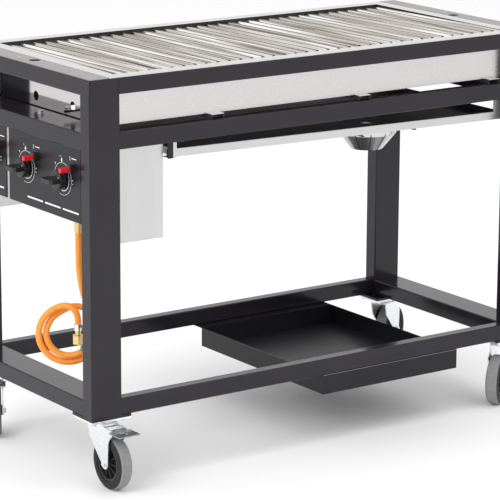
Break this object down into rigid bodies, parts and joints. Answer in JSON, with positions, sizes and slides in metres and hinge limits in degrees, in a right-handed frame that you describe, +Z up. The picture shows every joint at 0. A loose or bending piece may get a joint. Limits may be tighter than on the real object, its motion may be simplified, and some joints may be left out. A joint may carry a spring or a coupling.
{
  "type": "mobile gas charbroiler",
  "caption": "Mobile gas charbroiler grill: tube frame on castors, V-bar grate over a firebox, knobs on one end, slide-out drip tray and a tray for a gas bottle.",
  "frame": {"origin": "on the floor, under the middle of the whole object's box", "axes": "+X along the long front, from the knob end to the plain end; +Y from front to back; +Z up"},
  "size_m": [1.3932, 0.6736, 0.9516],
  "materials": {
    "frame_paint": "charcoal semi-gloss powder coat",
    "black_paint": "satin black powder coat",
    "cover_steel": "matt stainless sheet, lightly speckled",
    "firebox_steel": "brushed and polished stainless sheet",
    "grate_steel": "bright stainless, a little heat-stained",
    "burner_steel": "heat-dulled stainless tube",
    "galvanised": "plain light sheet steel",
    "polished_steel": "polished spun stainless",
    "zinc": "bright zinc plate",
    "dark_zinc": "dull zinc plate",
    "plated_screws": "plated",
    "brass": "turned brass",
    "black_plastic": "smooth black moulding",
    "hub_plastic": "matt black moulding",
    "red_plastic": "glossy red moulding",
    "hose_rubber": "smooth orange rubber",
    "tyre_rubber": "dark grey solid rubber",
    "ceramic": "off-white ceramic",
    "tie_plastic": "grey nylon"
  },
  "bodies": {
    "frame": {"bottle_tray": "black_paint", "bottom_frame": "frame_paint", "burners": "burner_steel", "caster_bolts": "plated_screws", "caster_plates": "zinc", "control_housing": "galvanised", "control_panel_narrow": "black_paint", "control_panel_wide": "black_paint", "end_covers": "cover_steel", "firebox": "firebox_steel", "firebox_supports": "firebox_steel", "foot_plates": "frame_paint", "frame_posts": "frame_paint", "frame_screws": "plated_screws", "gas_hose": "hose_rubber", "gas_manifold": "galvanised", "gas_pipes": "galvanised", "gas_valves": "brass", "hose_coil": "hose_rubber", "hose_end_fitting": "brass", "hose_hook": "frame_paint", "hose_inlet_fitting": "brass", "hose_tie": "tie_plastic", "igniter_bodies": "black_plastic", "ignition_electrodes": "ceramic", "injectors": "brass", "middle_frame": "frame_paint", "side_shields": "galvanised", "top_frame": "frame_paint", "tray_runners": "galvanised", "wall_pin": "black_paint"},
    "grate_left": {"grate_left": "grate_steel"},
    "grate_middle": {"grate_middle": "grate_steel"},
    "grate_right": {"grate_right": "grate_steel"},
    "valve_stem_1": {"valve_stem_1": "plated_screws"},
    "knob_1": {"knob_1": "black_plastic"},
    "igniter_button_1": {"igniter_button_1": "red_plastic"},
    "valve_stem_2": {"valve_stem_2": "plated_screws"},
    "knob_2": {"knob_2": "black_plastic"},
    "igniter_button_2": {"igniter_button_2": "red_plastic"},
    "valve_stem_3": {"valve_stem_3": "plated_screws"},
    "knob_3": {"knob_3": "black_plastic"},
    "igniter_button_3": {"igniter_button_3": "red_plastic"},
    "drip_tray": {"drip_tray": "galvanised", "cup_rails": "galvanised"},
    "fat_cup": {"fat_cup": "polished_steel"},
    "fork_front_left": {"fork_front_left": "zinc"},
    "wheel_front_left": {"tyre_front_left": "tyre_rubber", "hub_front_left": "hub_plastic"},
    "fork_back_left": {"fork_back_left": "zinc"},
    "wheel_back_left": {"tyre_back_left": "tyre_rubber", "hub_back_left": "hub_plastic"},
    "fork_front_right": {"fork_front_right": "zinc"},
    "wheel_front_right": {"tyre_front_right": "tyre_rubber", "hub_front_right": "hub_plastic"},
    "fork_back_right": {"fork_back_right": "zinc"},
    "wheel_back_right": {"tyre_back_right": "tyre_rubber", "hub_back_right": "hub_plastic"},
    "pedal_front_left": {"pedal_front_left": "dark_zinc"},
    "pedal_back_left": {"pedal_back_left": "dark_zinc"}
  },
  "joints": [
    {"name": "grate_left_lift", "type": "slide", "parent": "frame", "child": "grate_left", "axis": [0, 0, 1], "range_m": [0, 0.15]},
    {"name": "grate_middle_lift", "type": "slide", "parent": "frame", "child": "grate_middle", "axis": [0, 0, 1], "range_m": [0, 0.15]},
    {"name": "grate_right_lift", "type": "slide", "parent": "frame", "child": "grate_right", "axis": [0, 0, 1], "range_m": [0, 0.15]},
    {"name": "knob_1_push", "type": "slide", "parent": "frame", "child": "valve_stem_1", "axis": [1, 0, 0], "range_m": [0, 0.003], "stiffness_N_per_m": 800, "springref_m": -0.002},
    {"name": "knob_1_turn", "type": "hinge", "parent": "valve_stem_1", "child": "knob_1", "pos_m": [-0.67157, -0.14232, 0.707], "axis": [-1, 0, 0], "range_deg": [0, 210]},
    {"name": "igniter_1_press", "type": "slide", "parent": "frame", "child": "igniter_button_1", "axis": [1, 0, 0], "range_m": [0, 0.006], "stiffness_N_per_m": 400, "springref_m": -0.002},
    {"name": "knob_2_push", "type": "slide", "parent": "frame", "child": "valve_stem_2", "axis": [1, 0, 0], "range_m": [0, 0.003], "stiffness_N_per_m": 800, "springref_m": -0.002},
    {"name": "knob_2_turn", "type": "hinge", "parent": "valve_stem_2", "child": "knob_2", "pos_m": [-0.67157, 0.01768, 0.707], "axis": [-1, 0, 0], "range_deg": [0, 210]},
    {"name": "igniter_2_press", "type": "slide", "parent": "frame", "child": "igniter_button_2", "axis": [1, 0, 0], "range_m": [0, 0.006], "stiffness_N_per_m": 400, "springref_m": -0.002},
    {"name": "knob_3_push", "type": "slide", "parent": "frame", "child": "valve_stem_3", "axis": [1, 0, 0], "range_m": [0, 0.003], "stiffness_N_per_m": 800, "springref_m": -0.002},
    {"name": "knob_3_turn", "type": "hinge", "parent": "valve_stem_3", "child": "knob_3", "pos_m": [-0.67157, 0.17768, 0.707], "axis": [-1, 0, 0], "range_deg": [0, 210]},
    {"name": "igniter_3_press", "type": "slide", "parent": "frame", "child": "igniter_button_3", "axis": [1, 0, 0], "range_m": [0, 0.006], "stiffness_N_per_m": 400, "springref_m": -0.002},
    {"name": "drip_tray_slide", "type": "slide", "parent": "frame", "child": "drip_tray", "axis": [0.9999, 0, -0.0152], "range_m": [0, 0.5]},
    {"name": "fat_cup_slide", "type": "slide", "parent": "drip_tray", "child": "fat_cup", "axis": [0, -1, 0], "range_m": [0, 0.2]},
    {"name": "caster_front_left_swivel", "type": "hinge", "parent": "frame", "child": "fork_front_left", "pos_m": [-0.59907, -0.21882, 0.1477], "axis": [0, 0, 1], "continuous": true},
    {"name": "wheel_front_left_roll", "type": "hinge", "parent": "fork_front_left", "child": "wheel_front_left", "pos_m": [-0.59907, -0.26382, 0.0625], "axis": [1, 0, 0], "continuous": true},
    {"name": "caster_back_left_swivel", "type": "hinge", "parent": "frame", "child": "fork_back_left", "pos_m": [-0.59907, 0.27618, 0.1477], "axis": [0, 0, 1], "continuous": true},
    {"name": "wheel_back_left_roll", "type": "hinge", "parent": "fork_back_left", "child": "wheel_back_left", "pos_m": [-0.62157, 0.23721, 0.0625], "axis": [0.866, -0.5, 0], "continuous": true},
    {"name": "caster_front_right_swivel", "type": "hinge", "parent": "frame", "child": "fork_front_right", "pos_m": [0.59593, -0.21882, 0.1477], "axis": [0, 0, 1], "continuous": true},
    {"name": "wheel_front_right_roll", "type": "hinge", "parent": "fork_front_right", "child": "wheel_front_right", "pos_m": [0.55907, -0.24463, 0.0625], "axis": [0.5736, -0.8192, 0], "continuous": true},
    {"name": "caster_back_right_swivel", "type": "hinge", "parent": "frame", "child": "fork_back_right", "pos_m": [0.59593, 0.27618, 0.1477], "axis": [0, 0, 1], "continuous": true},
    {"name": "wheel_back_right_roll", "type": "hinge", "parent": "fork_back_right", "child": "wheel_back_right", "pos_m": [0.63603, 0.29661, 0.0625], "axis": [-0.454, 0.891, 0], "continuous": true},
    {"name": "brake_pedal_front_left", "type": "hinge", "parent": "fork_front_left", "child": "pedal_front_left", "pos_m": [-0.59907, -0.27882, 0.1377], "axis": [1, 0, 0], "range_deg": [0, 12]},
    {"name": "brake_pedal_back_left", "type": "hinge", "parent": "fork_back_left", "child": "pedal_back_left", "pos_m": [-0.62907, 0.22422, 0.1377], "axis": [0.866, -0.5, 0], "range_deg": [0, 12]}
  ]
}
